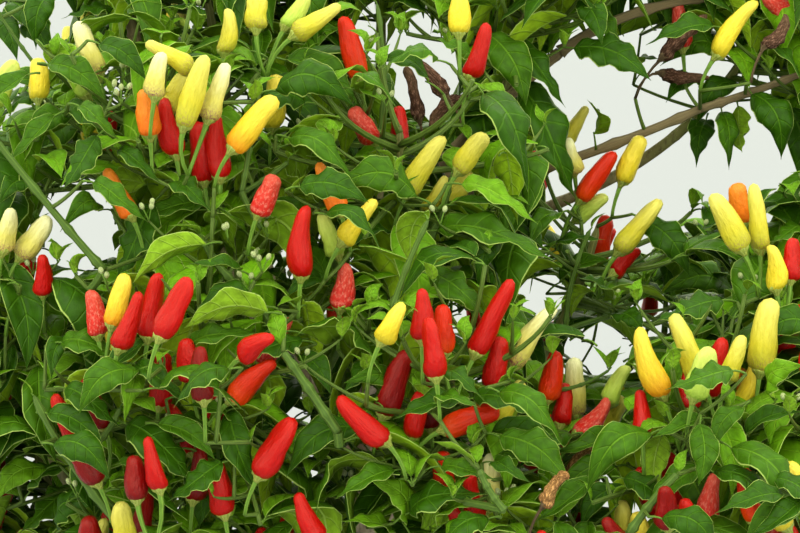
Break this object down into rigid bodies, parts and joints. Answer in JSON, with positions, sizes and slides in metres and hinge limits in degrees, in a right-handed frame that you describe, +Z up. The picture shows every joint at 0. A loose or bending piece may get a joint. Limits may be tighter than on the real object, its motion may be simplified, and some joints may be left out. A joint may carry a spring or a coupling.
{
  "type": "chilli pepper plant",
  "caption": "Bushy rooted chilli pepper plant: a leaning woody trunk, spreading tapering boughs, and masses of leaves with upright blunt pods.",
  "frame": {"origin": "middle of the flat cut under the trunk, at ground level", "axes": "+Z up along the trunk, -Y towards the side seen in the picture, +X to the right seen from there"},
  "size_m": [0.9203, 0.795, 0.91],
  "materials": {
    "bark": "rough grey-brown bark with fine ridges, greener on young boughs",
    "foliage": "glossy dark green leaves with pale wavy edges, on green twigs",
    "pods": "smooth waxy skin, cream, yellow, orange and red"
  },
  "bodies": {
    "root": {"trunk": "bark", "bough_top_centre": "bark", "bough_left_side": "bark", "bough_front_left": "bark", "bough_front_centre": "bark", "bough_front_right": "bark", "bough_right_side": "bark", "bough_back_centre": "bark", "bough_top_left": "bark", "bough_top_right": "bark", "bough_front_centre_high": "bark", "bough_front_left_high": "bark", "bough_back_left_high": "bark", "bough_centre_right": "bark", "bough_centre_high": "bark", "bough_back_right": "bark", "bough_back_low": "bark", "bough_left_front": "bark", "bough_left_low": "bark", "bough_back_left_low": "bark", "bough_front_left_low": "bark", "bough_front_right_low": "bark", "bough_right_front": "bark", "foliage_top_centre": "foliage", "foliage_left_side": "foliage", "foliage_front_left": "foliage", "foliage_front_centre": "foliage", "foliage_front_right": "foliage", "foliage_right_side": "foliage", "foliage_back_centre": "foliage", "foliage_top_left": "foliage", "foliage_top_right": "foliage", "foliage_front_centre_high": "foliage", "foliage_front_left_high": "foliage", "foliage_back_left_high": "foliage", "foliage_centre_right": "foliage", "foliage_centre_high": "foliage", "foliage_back_right": "foliage", "foliage_back_low": "foliage", "foliage_left_front": "foliage", "foliage_left_low": "foliage", "foliage_back_left_low": "foliage", "foliage_front_left_low": "foliage", "foliage_front_right_low": "foliage", "foliage_right_front": "foliage"}
  },
  "joints": []
}
